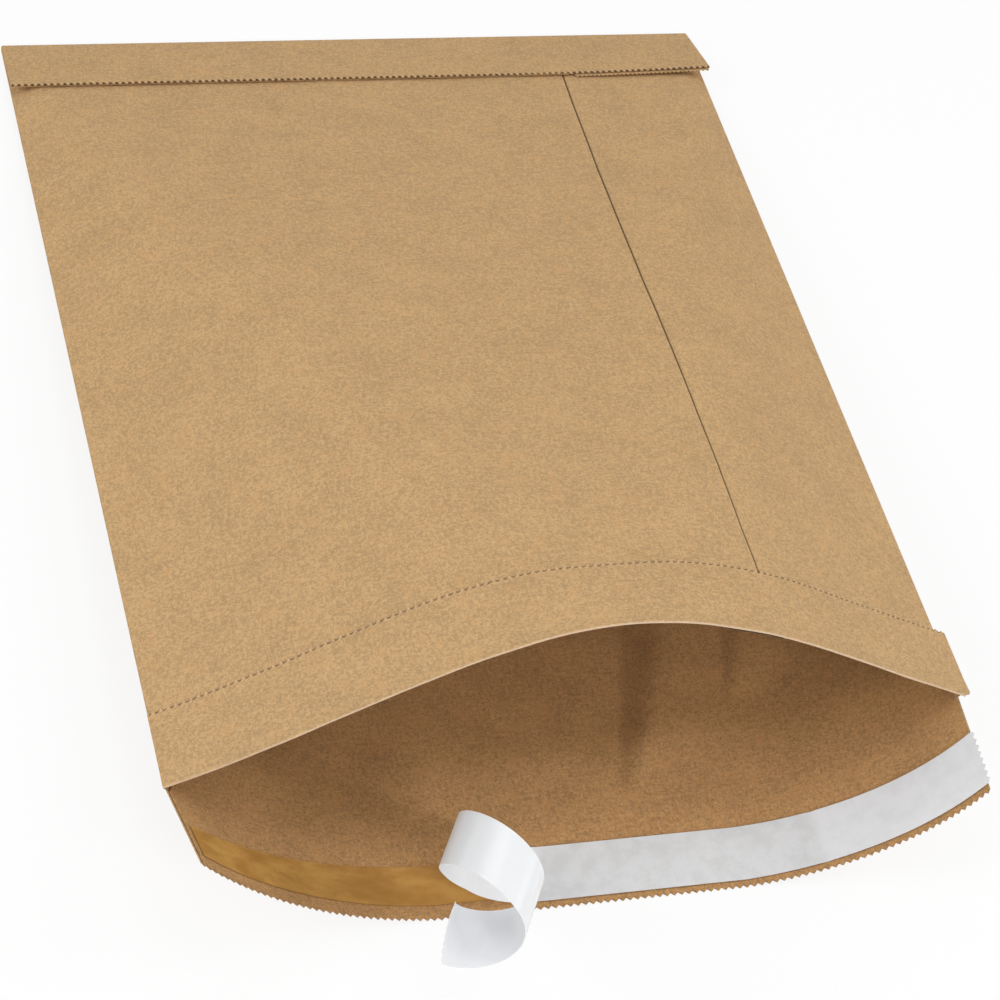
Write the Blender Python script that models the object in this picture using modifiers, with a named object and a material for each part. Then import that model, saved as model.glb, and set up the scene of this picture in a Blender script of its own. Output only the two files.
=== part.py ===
"""Padded kraft mailer, lying on its back with its mouth propped open.

The wrapper is one sheet of kraft paper: a tube with a lap seam, folded over at the foot as a hem,
turned outward at the mouth as a cuff, and left long at the back as a flap with a pinked edge.
A lining sheet and a layer of paper-fibre padding lie inside it, and the flap carries a strip of
adhesive under a release liner that is half peeled off and curls.

Every sheet is an open surface worked out by formula and given its thickness by Solidify.
A point of a panel is named by s, its distance from the left crease across the flat width, and
v, its distance from the foot along the sheet. Metres, +Z up, the foot at +Y, the mouth at -Y.
"""

import math

import bmesh
import bpy
import numpy as np

# Sizes of the flat mailer
FLAT_WIDTH = 0.362
BODY_LENGTH = 0.470
FLAP_LENGTH = 0.048
CUFF_WIDTH = 0.038
CUFF_OVERHANG_LEFT = 0.001
CUFF_OVERHANG_RIGHT = 0.007
HEM_WIDTH = 0.040
HEM_FLARE = 0.0025
TOOTH_PITCH = 0.0032
TOOTH_DEPTH = 0.0014

# Sheets and the clearance that they keep
PAPER = 0.0003
PADDING = 0.0012
PADDING_EDGE = 0.00024
ADHESIVE = 0.0002
LINER = 0.0002
CLEARANCE = 0.0003
CUFF_GAP = 0.0004

# Lap seam on the front panel, at its distance from the left crease
SEAM_AT_FOOT = 0.284
SEAM_AT_MOUTH = 0.260
LAP_WIDTH = 0.025
LAP_DIP = 0.003
LAP_EASE = 0.014

# Form of the open mouth: the back panel curls up at its sides, and the front panel arches
CURL_LEFT_WIDTH = 0.117
CURL_LEFT_RADIUS = 0.172
CURL_RIGHT_WIDTH = 0.115
CURL_RIGHT_RADIUS = 0.118
ARCH_BELL = 0.33
ARCH_LEAN = 1.08
LIP_RADIUS = 0.0009
LIP_EASE = 0.012

# The flap bends up at its left corner, and down at its right
FLAP_RISE_LEFT = 0.25
FLAP_RISE_RIGHT = -0.10
FLAP_TURN_LEFT = 0.11

# Where the lining and the padding end, and how far they stay from the creases
LINING_START = 0.014
LINING_END = 0.002
FOOT_TAPER = 0.015
MOUTH_TAPER_END = 0.008
MOUTH_TAPER = 0.017
PADDING_INSET = 0.0064
LINING_INSET = 0.0096
LINING_MOUTH_INSET = 0.003
LINING_FLAP_INSET = 0.0008

# Adhesive strip and release liner on the flap
LINER_WIDTH = 0.0254
LINER_MARGIN = 0.0031
LINER_OVERHANG = 0.0025
ADHESIVE_WIDTH = 0.0185
ADHESIVE_INSET = 0.003
PEEL_FROM_LEFT = 0.160
PEEL_SKEW = 0.506
PEEL_TILT = 0.173
PEEL_EASE = 0.030
PEEL_LENGTH = 0.205
PEEL_RADII = ((0.000, 0.0240), (0.056, 0.1540), (0.126, 0.0180), (0.136, 0.0082), (0.146, 0.0145))

# Fineness of the surfaces
SAMPLES = 721
LEFT_COLUMNS = 10
RIGHT_COLUMNS = 4
BACK_COLUMNS = 14
BODY_ROWS = 5
PEEL_COLUMNS = 40

# Values that follow from the sizes
HALF_WIDTH = FLAT_WIDTH / 2
LAP_STEP = PAPER + CLEARANCE
STACK = 3 * PAPER + 2 * CLEARANCE
FOLD_AXIS = STACK + CLEARANCE
PADDING_BULK = PADDING + CLEARANCE
PADDING_END_SHARE = (PADDING_EDGE + CLEARANCE) / PADDING_BULK
STATIONS = np.linspace(0, FLAT_WIDTH, SAMPLES)
STEP = 0.0005
UP = np.array([0.0, 0.0, 1.0])


def spread(values):
    """Float array of the values."""
    return np.asarray(values, float)


def unit(vectors):
    """Vectors scaled to length one."""
    return vectors / np.linalg.norm(vectors, axis=-1, keepdims=True)


def back_profile():
    """Back panel across the mouth: a flat middle on the table and a circular arc up to each crease."""
    left = np.clip(CURL_LEFT_WIDTH - STATIONS, 0, None) / CURL_LEFT_RADIUS
    right = np.clip(STATIONS - FLAT_WIDTH + CURL_RIGHT_WIDTH, 0, None) / CURL_RIGHT_RADIUS
    flat = np.clip(STATIONS, CURL_LEFT_WIDTH, FLAT_WIDTH - CURL_RIGHT_WIDTH) - HALF_WIDTH
    x = flat - CURL_LEFT_RADIUS * np.sin(left) + CURL_RIGHT_RADIUS * np.sin(right)
    z = CURL_LEFT_RADIUS * (1 - np.cos(left)) + CURL_RIGHT_RADIUS * (1 - np.cos(right))
    return np.column_stack([x, z])


def front_profile(left_end, right_end):
    """Front panel across the mouth: the chord between the creases plus a rise times a leaning hump,
    where the rise is halved between two bounds until the curve is as long as the flat width."""
    t = np.linspace(0, 1, SAMPLES)
    lean = t ** ARCH_LEAN
    hump = (1 - ARCH_BELL) * 4 * lean * (1 - lean) + ARCH_BELL * np.sin(np.pi * lean) ** 2
    chord = left_end + np.outer(t, right_end - left_end)
    low, high = 0.0, FLAT_WIDTH
    for _ in range(40):
        rise = (low + high) / 2
        curve = chord + np.outer(rise * hump, (0, 1))
        run = np.r_[0, np.cumsum(np.linalg.norm(np.diff(curve, axis=0), axis=1))]
        if run[-1] < FLAT_WIDTH:
            low = rise
        else:
            high = rise
    run *= FLAT_WIDTH / run[-1]
    return np.column_stack([np.interp(STATIONS, run, curve[:, axis]) for axis in range(2)])


def in_depth(profile):
    """Mouth curve in space: each point keeps its flat distance from both corners of the foot."""
    x, z = profile.T
    from_left = BODY_LENGTH ** 2 + STATIONS ** 2 - (x + HALF_WIDTH) ** 2 - z ** 2
    from_right = BODY_LENGTH ** 2 + (FLAT_WIDTH - STATIONS) ** 2 - (HALF_WIDTH - x) ** 2 - z ** 2
    share = STATIONS / FLAT_WIDTH
    y = -np.sqrt((1 - share) * from_left + share * from_right)
    return np.column_stack([x, y, z])


BACK_PROFILE = back_profile()
BACK_MOUTH = in_depth(BACK_PROFILE)
FRONT_MOUTH = in_depth(front_profile(BACK_PROFILE[0], BACK_PROFILE[-1]))
BACK_RIDGE = (CURL_LEFT_WIDTH + FLAT_WIDTH - CURL_RIGHT_WIDTH) / 2
FRONT_RIDGE = STATIONS[np.argmax(FRONT_MOUTH[:, 2])]
FRONT_PEAK = FRONT_MOUTH[np.argmax(FRONT_MOUTH[:, 2])]
FRONT_SLOPE = math.atan2(FRONT_PEAK[2], -FRONT_PEAK[1])


def along(mouth, s):
    """Point of a mouth curve at the distance s from the left crease."""
    return np.stack([np.interp(s, STATIONS, mouth[:, axis]) for axis in range(3)], -1)


def panel(mouth, ridge, s, v):
    """Point of a panel: a flat triangle from the foot to the ridge of the mouth, and on each side
    of it a cone of straight lines from the foot's corner to the mouth."""
    s, v = np.broadcast_arrays(spread(s), spread(v))
    reach = np.maximum(v / BODY_LENGTH, 1e-9)
    left_foot = np.array([-HALF_WIDTH, 0, 0])
    right_foot = np.array([HALF_WIDTH, 0, 0])
    left_ray = np.clip(s / reach, 0, FLAT_WIDTH)
    right_ray = np.clip(FLAT_WIDTH - (FLAT_WIDTH - s) / reach, 0, FLAT_WIDTH)
    share = reach[..., None]
    left = left_foot + share * (along(mouth, left_ray) - left_foot)
    right = right_foot + share * (along(mouth, right_ray) - right_foot)
    to_right = ((s - reach * ridge) / FLAT_WIDTH)[..., None]
    to_left = 1 - share - to_right
    middle = share * along(mouth, ridge) + to_right * right_foot + to_left * left_foot
    in_left = (s <= ridge * reach)[..., None]
    in_right = (FLAT_WIDTH - s <= (FLAT_WIDTH - ridge) * reach)[..., None]
    return np.where(in_left, left, np.where(in_right, right, middle))


def past_ends(surface, s, v):
    """Surface carried straight on where s lies past either crease."""
    inside = np.clip(s, 0, FLAT_WIDTH)
    towards = np.where(inside < HALF_WIDTH, STEP, -STEP)
    point = surface(inside, v)
    tangent = unit((surface(inside + towards, v) - point) * np.sign(towards)[..., None])
    return point + (s - inside)[..., None] * tangent


def front_surface(s, v):
    """Outer face of the front panel."""
    return panel(FRONT_MOUTH, FRONT_RIDGE, s, v) + STACK * UP


def flap_direction(s):
    """Way in which the flap runs on from the mouth, turned up or down towards its corners."""
    before = panel(BACK_MOUTH, BACK_RIDGE, s, BODY_LENGTH - 20 * STEP)
    straight = unit(along(BACK_MOUTH, s) - before)
    left = np.clip(1 - s / CURL_LEFT_WIDTH, 0, 1)
    right = np.clip((s - FLAT_WIDTH) / CURL_RIGHT_WIDTH + 1, 0, 1)
    rise = np.tan(FLAP_RISE_LEFT * left ** 1.5 + FLAP_RISE_RIGHT * right ** 1.5)
    return unit(straight + np.stack([FLAP_TURN_LEFT * left, 0 * s, rise], -1))


def back_surface(s, v):
    """Outer face of the back panel, and of the flap past the mouth."""
    s, v = np.broadcast_arrays(spread(s), spread(v))
    body = panel(BACK_MOUTH, BACK_RIDGE, s, np.minimum(v, BODY_LENGTH))
    past = np.maximum(v - BODY_LENGTH, 0)[..., None]
    return body + past * flap_direction(s)


def placed(surface, s, v, depth, outward):
    """Point at a depth under a surface's outer face, measured along its normal."""
    s, v = np.broadcast_arrays(spread(s), spread(v))
    point = past_ends(surface, s, v)
    inside = np.clip(s, 0, FLAT_WIDTH)
    across = surface(np.minimum(inside + STEP, FLAT_WIDTH), v) - surface(np.maximum(inside - STEP, 0), v)
    onward = surface(inside, v + STEP) - surface(inside, v - STEP)
    up = unit(np.cross(onward, across))
    return point - spread(depth)[..., None] * up * outward


def front(s, v, depth=0.0):
    """Point of the front panel at a depth under its outer face."""
    return placed(front_surface, s, v, depth, 1.0)


def back(s, v, depth=0.0):
    """Point of the back panel or the flap at a depth under its outer face."""
    return placed(back_surface, s, v, depth, -1.0)


def seam(v):
    """Distance of the lap seam's visible edge from the left crease."""
    return SEAM_AT_FOOT + (SEAM_AT_MOUTH - SEAM_AT_FOOT) * spread(v) / BODY_LENGTH


def left_stations(v):
    """Columns of the front panel from the left crease to the seam's edge."""
    lap_end = seam(v) - LAP_WIDTH
    columns = np.linspace(LINING_INSET, lap_end, LEFT_COLUMNS + 1)
    return np.r_[0, PADDING_INSET, columns, lap_end + LAP_WIDTH / 2, seam(v)]


def right_stations(v):
    """Columns of the front panel from the seam's dip to the right crease."""
    columns = np.linspace(seam(v) + LAP_DIP, FLAT_WIDTH - LINING_INSET, RIGHT_COLUMNS + 1)
    return np.r_[columns, FLAT_WIDTH - PADDING_INSET, FLAT_WIDTH]


def back_stations():
    """Columns of the back panel, with those of the inner layers' edges near the creases."""
    columns = np.linspace(LINING_INSET, FLAT_WIDTH - LINING_INSET, BACK_COLUMNS + 1)
    return np.r_[0, PADDING_INSET, columns, FLAT_WIDTH - PADDING_INSET, FLAT_WIDTH]


BACK_STATIONS = back_stations()


def lap_bulge(s, v):
    """Extra depth that the layers under the lap keep, easing off on both sides of it."""
    before = (s - seam(v) + LAP_WIDTH) / LAP_EASE + 1
    after = (seam(v) + LAP_DIP - s) / LAP_EASE + 1
    return LAP_STEP * np.clip(np.minimum(before, after), 0, 1)


def padding_share(v):
    """Share of the padding's full thickness, easing off at the foot and at the mouth."""
    foot = (spread(v) - LINING_START) / FOOT_TAPER
    mouth = (BODY_LENGTH - MOUTH_TAPER_END - v) / MOUTH_TAPER
    return np.clip(np.minimum(foot, mouth), 0, 1)


MOUTH_FULL = BODY_LENGTH - MOUTH_TAPER_END - MOUTH_TAPER
PADDING_START = LINING_START + PADDING_END_SHARE * FOOT_TAPER
PADDING_END = BODY_LENGTH - MOUTH_TAPER_END - PADDING_END_SHARE * MOUTH_TAPER
CUFF_ROWS = np.linspace(LINING_START + FOOT_TAPER, BODY_LENGTH - CUFF_WIDTH, BODY_ROWS)
MIDDLE_ROWS = np.r_[PADDING_START, CUFF_ROWS, MOUTH_FULL]


class Sheet:
    """Open surface gathered from grids of points, and turned into an object with a thickness."""

    def __init__(self):
        self.mesh = bmesh.new()
        self.lofted = False

    def grid(self, rows, lofts=None):
        """Pairs of triangles between rows of points, split the same way in every layer, with each
        row's share of the thickness where it varies."""
        self.lofted = lofts is not None
        if self.lofted:
            layer = self.mesh.verts.layers.deform.verify()
        verts = [[self.mesh.verts.new(point) for point in row] for row in np.stack(rows)]
        if self.lofted:
            for row, loft in zip(verts, lofts):
                for vert in row:
                    vert[layer][0] = float(loft)
        for first, second in zip(verts, verts[1:]):
            for a, b, c, d in zip(first, first[1:], second[1:], second):
                self.mesh.faces.new((a, b, c))
                self.mesh.faces.new((a, c, d))

    def pinked(self, root, valley, tip):
        """Toothed strip: a fan from each column's root to the foot of its teeth on the valley row,
        and a triangle for each tooth, with its point on the tip row."""
        for i in range(len(root) - 1):
            teeth = max(1, round(np.linalg.norm(tip[i + 1] - tip[i]) / TOOTH_PITCH))
            feet = valley[i] + np.linspace(0, 1, teeth + 1)[:, None] * (valley[i + 1] - valley[i])
            points = tip[i] + (np.arange(teeth) + 0.5)[:, None] / teeth * (tip[i + 1] - tip[i])
            first, second, *along_feet = [self.mesh.verts.new(p) for p in (*root[i:i + 2], *feet)]
            self.mesh.faces.new((first, second, along_feet[-1]))
            for a, b, point in zip(along_feet, along_feet[1:], points):
                self.mesh.faces.new((first, b, a))
                self.mesh.faces.new((a, b, self.mesh.verts.new(point)))

    def finish(self, name, thickness, colour, roughness):
        """Weld the grids, point the lowest face down, and give the sheet its thickness inward."""
        bmesh.ops.remove_doubles(self.mesh, verts=self.mesh.verts, dist=1e-6)
        bmesh.ops.recalc_face_normals(self.mesh, faces=self.mesh.faces)
        lowest = min(self.mesh.faces, key=lambda face: face.calc_center_median().z)
        if lowest.normal.z > 0:
            bmesh.ops.reverse_faces(self.mesh, faces=self.mesh.faces)
        data = bpy.data.meshes.new(name)
        self.mesh.to_mesh(data)
        self.mesh.free()
        obj = bpy.data.objects.new(name, data)
        MAILER.objects.link(obj)
        obj.data.materials.append(material(name, colour, roughness))
        solidify = obj.modifiers.new("thickness", "SOLIDIFY")
        solidify.thickness = thickness
        solidify.offset = -1.0
        if self.lofted:
            solidify.vertex_group = obj.vertex_groups.new(name="loft").name
        return obj


def material(name, colour, roughness):
    """Principled surface of one colour."""
    made = bpy.data.materials.new(name)
    made.use_nodes = True
    shader = made.node_tree.nodes["Principled BSDF"]
    shader.inputs["Base Color"].default_value = (*colour, 1.0)
    shader.inputs["Roughness"].default_value = roughness
    return made


def rounded(start, end, side, bulge, steps):
    """Points between two crease ends, on half an ellipse that bulges outward."""
    turns = np.pi * np.arange(1, steps) / steps
    middle = (start + end) / 2
    out = np.array([side, 0.0, 0.0])
    return [middle + np.cos(a) * (start - middle) + np.sin(a) * bulge * out for a in turns]


def wrapper_section(v):
    """Wrapper across the body: from the seam's edge over the left crease, the back panel and the
    right crease, to the ply that dips under the lap."""
    left = front(left_stations(v), v)[::-1]
    bottom = back(BACK_STATIONS, v)
    right = front(right_stations(v), v)[::-1]
    under_s = np.array([seam(v) + LAP_DIP / 4, seam(v) - LAP_WIDTH / 2, seam(v) - LAP_WIDTH])
    under = front(under_s, v, LAP_STEP)
    turn_left = rounded(left[-1], bottom[0], -1, STACK / 2, 3)
    turn_right = rounded(bottom[-1], right[0], 1, STACK / 2, 3)
    return np.vstack([left, turn_left, bottom, turn_right, right, under])


def hem_lift(x, distance):
    """Height by which the right end of the folded strip stands off the front panel."""
    end = np.clip((x - 0.4 * HALF_WIDTH) / (0.6 * HALF_WIDTH), 0, 1)
    return HEM_FLARE * end ** 2 * distance / HEM_WIDTH


def folded(section, turn, distance=0.0):
    """Foot of the tube turned about the fold axis, then run on along the front panel's slope."""
    x, _, z = spread(section).T
    radius = FOLD_AXIS - z
    y = radius * np.sin(turn) - distance * np.cos(FRONT_SLOPE)
    height = FOLD_AXIS - radius * np.cos(turn) + distance * np.sin(FRONT_SLOPE)
    return np.column_stack([x, y, height + hem_lift(x, distance)])


def add_hem(sheet):
    """Both plies of the foot folded over onto the front, the outer ply with a pinked edge."""
    section = wrapper_section(0.0)
    last_turn = math.pi - FRONT_SLOPE
    root = HEM_WIDTH - 2 * TOOTH_DEPTH
    rows = [folded(section, turn) for turn in np.linspace(0, last_turn, 4)]
    sheet.grid([*rows, folded(section, last_turn, root)])

    outer = back(BACK_STATIONS, 0.0)
    inner = front(right_stations(0.0), 0.0)
    for ply, longer in ((outer, 0), (inner, TOOTH_DEPTH)):
        edge = HEM_WIDTH + longer
        sheet.pinked(*[folded(ply, last_turn, w) for w in (root, edge - TOOTH_DEPTH, edge)])


def cuff_stations(v):
    """Columns of the cuff, which sticks out past both creases."""
    overhang = FLAT_WIDTH + CUFF_OVERHANG_RIGHT
    return np.r_[-CUFF_OVERHANG_LEFT, left_stations(v), right_stations(v), overhang]


def laid_cuff(distance):
    """Row of the cuff at a distance from the lip, easing down onto the front panel."""
    easing = max(1 - distance / LIP_EASE, 0) ** 2
    height = CUFF_GAP + (2 * LIP_RADIUS - CUFF_GAP) * easing
    v = BODY_LENGTH - distance
    return front(cuff_stations(v), v, -height)


def add_cuff(sheet):
    """Mouth of the front panel rolled outward over a rounded lip and laid back on the panel."""
    stations = cuff_stations(BODY_LENGTH)
    lip = front(stations, BODY_LENGTH)
    above = unit(front(stations, BODY_LENGTH, -STEP) - lip)
    onward = unit(lip - front(stations, BODY_LENGTH - 4 * STEP))
    rows = []
    for turn in np.linspace(0, math.pi, 4):
        rows.append(lip + LIP_RADIUS * (np.sin(turn) * onward + (1 - np.cos(turn)) * above))
    root = CUFF_WIDTH - 2 * TOOTH_DEPTH
    for distance in (LIP_EASE / 3, MOUTH_TAPER_END, MOUTH_TAPER_END + MOUTH_TAPER, root):
        rows.append(laid_cuff(distance))
    sheet.grid(rows)
    sheet.pinked(*[laid_cuff(w) for w in (root, CUFF_WIDTH - TOOTH_DEPTH, CUFF_WIDTH)])


def add_flap(sheet, stations, depth, start):
    """Flap from the row at start past the mouth to its pinked edge."""
    edge = BODY_LENGTH + FLAP_LENGTH
    root = edge - 2 * TOOTH_DEPTH
    sheet.grid([back(stations, v, depth) for v in np.linspace(start, root, 4)])
    sheet.pinked(*[back(stations, v, depth) for v in (root, edge - TOOTH_DEPTH, edge)])


def outer_wrapper():
    """Kraft wrapper: body tube with its lap, hem, cuff and flap, from one sheet."""
    sheet = Sheet()
    body = np.r_[0.0, LINING_START, MIDDLE_ROWS, BODY_LENGTH - MOUTH_TAPER_END, BODY_LENGTH]
    sheet.grid([wrapper_section(v) for v in body])
    add_hem(sheet)
    add_cuff(sheet)
    add_flap(sheet, BACK_STATIONS, 0.0, BODY_LENGTH)
    return sheet.finish("outer_wrapper", PAPER, (0.51, 0.345, 0.178), 0.85)


def inner_section(v, depth, inset, bulge):
    """Closed section of an inner layer: front, left crease, back and right crease."""
    limits = (inset, FLAT_WIDTH - inset)
    front_s = np.clip(np.r_[left_stations(v), right_stations(v)], *limits)
    back_s = np.clip(BACK_STATIONS, *limits)
    top = front(front_s, v, depth + lap_bulge(front_s, v))[::-1]
    bottom = back(back_s, v, depth)
    left = rounded(top[-1], bottom[0], -1, bulge * np.linalg.norm(top[-1] - bottom[0]), 2)
    right = rounded(bottom[-1], top[0], 1, bulge * np.linalg.norm(top[0] - bottom[-1]), 2)
    return np.vstack([top, left, bottom, right, top[:1]])


def padding():
    """Layer of loose paper fibre between the plies, thin at the foot and at the mouth."""
    sheet = Sheet()
    rows = np.r_[MIDDLE_ROWS, PADDING_END]
    lofts = (padding_share(rows) * PADDING_BULK - CLEARANCE) / PADDING
    sections = [inner_section(v, PAPER + CLEARANCE, PADDING_INSET, 0.3) for v in rows]
    sheet.grid(sections, lofts)
    return sheet.finish("padding", PADDING, (0.42, 0.38, 0.33), 0.95)


def lining_inset(v):
    """Distance of the lining from the crease, less towards the mouth."""
    return np.interp(v, [MOUTH_FULL, BODY_LENGTH - LINING_END], [LINING_INSET, LINING_MOUTH_INSET])


def inner_lining():
    """Kraft lining: a tube inside the padding, whose back runs on over the flap."""
    sheet = Sheet()
    end = BODY_LENGTH - LINING_END
    rows = np.r_[LINING_START, MIDDLE_ROWS, BODY_LENGTH - MOUTH_TAPER_END, end]
    for_plies = PAPER + CLEARANCE
    sections = []
    for v in rows:
        depth = for_plies + PADDING_BULK * padding_share(v)
        sections.append(inner_section(v, depth, lining_inset(v), 0.15))
    sheet.grid(sections)
    tube_s = np.clip(BACK_STATIONS, LINING_MOUTH_INSET, FLAT_WIDTH - LINING_MOUTH_INSET)
    flap_s = np.clip(BACK_STATIONS, LINING_FLAP_INSET, FLAT_WIDTH - LINING_FLAP_INSET)
    sheet.grid([back(tube_s, end, for_plies), back(flap_s, end + 2 * LINING_END, for_plies)])
    add_flap(sheet, flap_s, for_plies, end + 2 * LINING_END)
    return sheet.finish("inner_lining", PAPER, (0.37, 0.235, 0.12), 0.85)


FLAP_STACK = 2 * PAPER + 2 * CLEARANCE
FLAP_EDGE = BODY_LENGTH + FLAP_LENGTH
LINER_MIDDLE = FLAP_EDGE - LINER_MARGIN - LINER_WIDTH / 2


def adhesive_strip():
    """Band of pressure-sensitive adhesive along the flap, on the lining's face."""
    sheet = Sheet()
    stations = np.clip(BACK_STATIONS, ADHESIVE_INSET, FLAT_WIDTH - ADHESIVE_INSET)
    edges = LINER_MIDDLE + spread([-ADHESIVE_WIDTH / 2, 0, ADHESIVE_WIDTH / 2])
    sheet.grid([back(stations, v, FLAP_STACK) for v in edges])
    return sheet.finish("adhesive_strip", ADHESIVE, (0.42, 0.235, 0.06), 0.35)


def roll_path():
    """Section of the peeled liner: distance along it, and its run and height, from a curvature that
    goes straight from one named radius to the next."""
    run = np.linspace(0, PEEL_LENGTH + LINER_WIDTH, SAMPLES)
    at, radii = np.array(PEEL_RADII).T
    step = run[1]
    heading = np.cumsum(np.interp(run, at, 1 / radii)) * step
    return run, np.cumsum(np.cos(heading)) * step, np.cumsum(np.sin(heading)) * step


def liner_point(length, across):
    """Point of the release liner. Up to the peel line it lies on the adhesive; past it, the flat
    strip is rolled on a section whose straight lines run askew across the strip, and rise a little
    towards its near side."""
    depth = FLAP_STACK + ADHESIVE + CLEARANCE
    origin = back(PEEL_FROM_LEFT, LINER_MIDDLE, depth)
    leftward = unit(back(PEEL_FROM_LEFT - STEP, LINER_MIDDLE, depth) - origin)
    outward = unit(back(PEEL_FROM_LEFT, LINER_MIDDLE + STEP, depth) - origin)
    above = np.cross(leftward, outward)
    axis = math.cos(PEEL_SKEW) * outward + math.sin(PEEL_SKEW) * leftward
    ahead = math.cos(PEEL_SKEW) * leftward - math.sin(PEEL_SKEW) * outward
    rolled = length * math.cos(PEEL_SKEW) - across * math.sin(PEEL_SKEW)
    drift = length * math.sin(PEEL_SKEW) + across * math.cos(PEEL_SKEW)
    run, forward, height = roll_path()
    rise = np.interp(rolled, run, height) + PEEL_TILT * drift * np.clip(rolled / PEEL_EASE, 0, 1)
    free = origin + np.outer(np.interp(rolled, run, forward), ahead)
    free += np.outer(rise, above) + np.outer(drift, axis)
    stuck = back(PEEL_FROM_LEFT - length, LINER_MIDDLE + across, depth)
    return np.where((rolled > 0)[:, None], free, stuck)


def release_liner():
    """Siliconised paper strip, stuck along the right of the flap and peeled back from the left."""
    sheet = Sheet()
    half = LINER_WIDTH / 2
    across = spread([-half, 0, half])
    start = PEEL_FROM_LEFT - FLAT_WIDTH - LINER_OVERHANG
    stuck = PEEL_FROM_LEFT - BACK_STATIONS[::-1]
    stuck = stuck[(stuck > start + 2 * TOOTH_PITCH) & (stuck < -LINER_WIDTH)]
    peeled = np.linspace(0, PEEL_LENGTH - 2 * TOOTH_DEPTH, PEEL_COLUMNS)
    lengths = np.r_[start + 2 * TOOTH_DEPTH, stuck, peeled]
    skew = np.clip(np.minimum(lengths / LINER_WIDTH + 1, (peeled[-1] - lengths) / LINER_WIDTH), 0, 1)
    rows = []
    for length, share in zip(lengths, skew):
        rows.append(liner_point(length + across * math.tan(PEEL_SKEW) * share, across))
    sheet.grid(rows)

    for end, inward in ((start, TOOTH_DEPTH), (PEEL_LENGTH, -TOOTH_DEPTH)):
        places = (end + 2 * inward, end + inward, end)
        sheet.pinked(*[liner_point(np.full(3, at), across) for at in places])
    return sheet.finish("release_liner", LINER, (0.74, 0.74, 0.73), 0.4)


def stand_on_origin(objects):
    """Move the whole mailer so that the middle of its footprint is at the origin."""
    graph = bpy.context.evaluated_depsgraph_get()
    corners = []
    for obj in objects:
        mesh = obj.evaluated_get(graph).to_mesh()
        points = np.array([vertex.co for vertex in mesh.vertices])
        corners += [points.min(0), points.max(0)]
    low = np.min(corners, axis=0)
    high = np.max(corners, axis=0)
    for obj in objects:
        for vertex in obj.data.vertices:
            vertex.co.x -= (low[0] + high[0]) / 2
            vertex.co.y -= (low[1] + high[1]) / 2
            vertex.co.z -= low[2]


for existing in list(bpy.data.objects):
    bpy.data.objects.remove(existing, do_unlink=True)

MAILER = bpy.data.collections.new("padded_envelope")
bpy.context.scene.collection.children.link(MAILER)

stand_on_origin([outer_wrapper(), padding(), inner_lining(), adhesive_strip(), release_liner()])
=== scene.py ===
"""Looks of a padded kraft mailer that lies on its back with its mouth propped open.

Each sheet of paper is a fine surface worked out by formula. A point of a panel is named by s, its
distance from the left crease across the flat width, and v, its distance from the foot along the
sheet. Metres, +Z up, the foot at +Y and the mouth at -Y, as in the frame.
"""

import math

import bmesh
import bpy
import numpy as np
from mathutils import Matrix, Vector


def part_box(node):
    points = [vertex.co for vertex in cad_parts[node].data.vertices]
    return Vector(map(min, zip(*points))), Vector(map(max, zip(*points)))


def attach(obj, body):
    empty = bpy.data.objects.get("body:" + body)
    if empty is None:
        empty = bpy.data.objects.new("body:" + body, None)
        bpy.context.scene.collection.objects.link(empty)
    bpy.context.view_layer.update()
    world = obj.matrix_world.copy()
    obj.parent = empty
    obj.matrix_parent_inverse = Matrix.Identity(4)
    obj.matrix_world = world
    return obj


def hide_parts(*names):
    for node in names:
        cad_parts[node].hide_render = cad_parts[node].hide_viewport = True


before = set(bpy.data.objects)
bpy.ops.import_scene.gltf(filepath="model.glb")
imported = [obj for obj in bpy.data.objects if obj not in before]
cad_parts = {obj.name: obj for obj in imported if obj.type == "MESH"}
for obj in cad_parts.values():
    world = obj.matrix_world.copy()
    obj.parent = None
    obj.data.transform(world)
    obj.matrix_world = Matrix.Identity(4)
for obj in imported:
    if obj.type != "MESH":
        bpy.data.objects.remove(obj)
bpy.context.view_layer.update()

# Sizes of the flat mailer
FLAT_WIDTH = 0.362
BODY_LENGTH = 0.470
FLAP_LENGTH = 0.048
CUFF_WIDTH = 0.038
CUFF_OVERHANG_LEFT = 0.001
CUFF_OVERHANG_RIGHT = 0.007
CUFF_CORNER = 0.004
HEM_WIDTH = 0.040
HEM_FLARE = 0.0025
HEM_FLARE_FROM = 0.4
TOOTH_PITCH = 0.0032
TOOTH_DEPTH = 0.0014
EDGE_BAND = 0.0006

# Sheets, and the gaps between them
PAPER = 0.0003
PADDING = 0.0012
PADDING_EDGE = 0.00024
ADHESIVE = 0.0002
LINER = 0.0002
GAP = 0.0003
CUFF_GAP = 0.0004

# Lap seam on the front panel, at its distance from the left crease
SEAM_AT_FOOT = 0.284
SEAM_AT_MOUTH = 0.260
SEAM_BOW = (0.0020, -0.0365, 0.0805)
LAP_WIDTH = 0.025
LAP_DIP = 0.003
LAP_EASE = 0.014

# Form of the open mouth: the back panel curls up at its sides, and the front panel arches
CURL_LEFT_WIDTH = 0.117
CURL_LEFT_RADIUS = 0.172
CURL_RIGHT_WIDTH = 0.115
CURL_RIGHT_RADIUS = 0.118
ARCH_BELL = 0.33
ARCH_LEAN = 1.08
ARCH_HALVINGS = 40
LIP_RADIUS = 0.0006
LIP_EASE = 0.012

# The flap bends up at its left corner, and down at its right
FLAP_RISE_LEFT = 0.25
FLAP_RISE_RIGHT = -0.10
FLAP_TURN_LEFT = 0.11
FLAP_BEND_POWER = 1.5

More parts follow.
